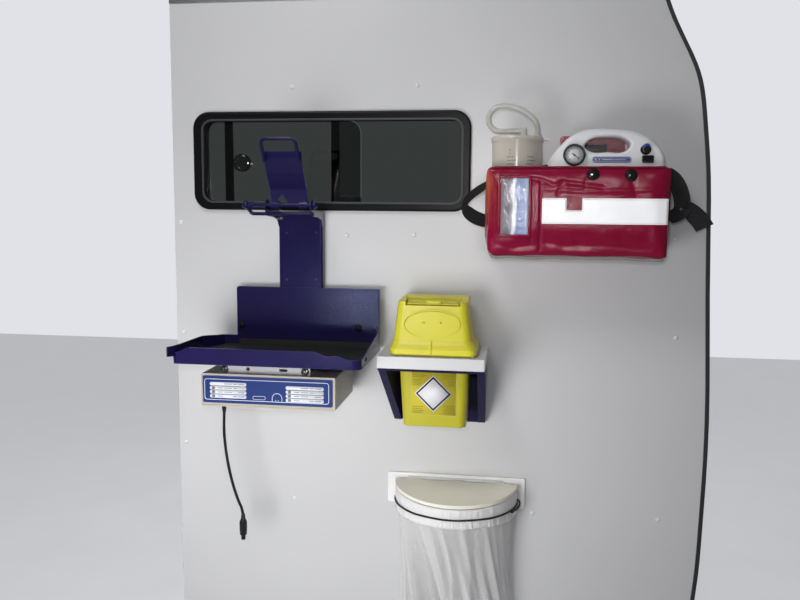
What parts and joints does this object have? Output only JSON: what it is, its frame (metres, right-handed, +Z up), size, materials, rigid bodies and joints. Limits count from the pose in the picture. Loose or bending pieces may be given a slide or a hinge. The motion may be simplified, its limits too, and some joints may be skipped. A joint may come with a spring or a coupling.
{
  "type": "vehicle bulkhead wall with fitted equipment",
  "caption": "Bulkhead wall of an ambulance saloon with a sliding window, monitor bracket, charger, sharps bin, waste-bag holder and suction unit.",
  "frame": {"origin": "centre of the floor rail's four bolt holes, on the rail's underside", "axes": "+X to the right seen from the saloon, +Y through the wall towards the cab, +Z up"},
  "size_m": [1.2662, 0.3634, 1.899],
  "materials": {
    "panel_white": "satin",
    "lining_grey": "matt",
    "seal_rubber": "matt",
    "rail_aluminium": "satin",
    "frame_black": "satin",
    "window_glass": "polished",
    "knob_black": "gloss",
    "stop_grey": "matt",
    "bracket_navy": "semi-gloss",
    "mat_rubber": "matt",
    "bolt_black": "satin",
    "charger_cream": "satin",
    "fascia_blue": "satin",
    "lead_black": "satin",
    "shelf_white": "satin",
    "board_navy": "satin",
    "bin_yellow": "satin",
    "holder_white": "satin",
    "holder_cream": "satin",
    "elastic_black": "matt",
    "bag_film": "crinkled",
    "case_red": "coated",
    "band_reflective": "reflective",
    "vinyl_clear": "gloss",
    "housing_white": "satin",
    "gauge_black": "satin",
    "label_blue": "satin",
    "jar_clear": "gloss",
    "hose_clear": "gloss",
    "strap_black": "woven"
  },
  "bodies": {
    "wall": {"bulkhead_panel": "panel_white", "cab_side_lining": "lining_grey", "edge_seal": "seal_rubber", "floor_rail": "rail_aluminium", "head_rail": "rail_aluminium", "window_frame": "frame_black", "window_posts": "frame_black", "window_trim_ring": "frame_black", "glass_fixed_pane": "window_glass", "glass_sliding_pane": "window_glass", "window_pull": "knob_black", "window_stop": "stop_grey", "bracket_column": "bracket_navy", "latch_bar": "bracket_navy", "monitor_tray": "bracket_navy", "tray_mat": "mat_rubber", "tray_bolts": "bolt_black", "charger_strip": "rail_aluminium", "charger_housing": "charger_cream", "charger_fascia": "fascia_blue", "charger_gland": "bolt_black", "charger_lead": "lead_black", "lead_connector": "lead_black", "sharps_shelf": "shelf_white", "sharps_cheek_left": "board_navy", "sharps_cheek_right": "board_navy", "sharps_back_board": "board_navy", "sharps_front_rail": "board_navy", "bag_holder_plate": "holder_white", "bag_holder_hoop": "holder_white", "bag_holder_hinge": "holder_white", "bag_band": "elastic_black", "waste_bag": "bag_film", "suction_wall_bracket": "rail_aluminium", "suction_case": "case_red", "case_back_panel": "case_red", "case_reflective_band": "band_reflective", "case_window": "vinyl_clear", "case_studs": "knob_black", "suction_housing": "housing_white", "suction_gauge": "gauge_black", "suction_label": "label_blue", "suction_switch": "gauge_black", "suction_knob": "gauge_black", "suction_jar": "jar_clear", "jar_lid": "jar_clear", "suction_hose": "hose_clear", "strap_left": "strap_black", "strap_right": "strap_black"},
    "latch": {"latch_arm": "bracket_navy", "latch_loop": "bracket_navy"},
    "bag_lid": {"bag_holder_lid": "holder_cream"},
    "sharps_bin": {"sharps_bin_body": "bin_yellow", "sharps_bin_lid": "bin_yellow"},
    "sharps_flap": {"sharps_bin_flap": "bin_yellow"}
  },
  "joints": [
    {"name": "latch_swing", "type": "hinge", "parent": "wall", "child": "latch", "pos_m": [-0.3025, -0.118, 1.411], "axis": [1, 0, 0], "range_deg": [-20, 42]},
    {"name": "bag_lid_hinge", "type": "hinge", "parent": "wall", "child": "bag_lid", "pos_m": [0.075, -0.012, 0.758], "axis": [-1, 0, 0], "range_deg": [0, 80]},
    {"name": "sharps_bin_lift", "type": "slide", "parent": "wall", "child": "sharps_bin", "axis": [0, 0, 1], "range_m": [0, 0.145]},
    {"name": "sharps_flap_hinge", "type": "hinge", "parent": "sharps_bin", "child": "sharps_flap", "pos_m": [0.023, -0.064, 1.197], "axis": [-1, 0, 0], "range_deg": [0, 90]}
  ]
}
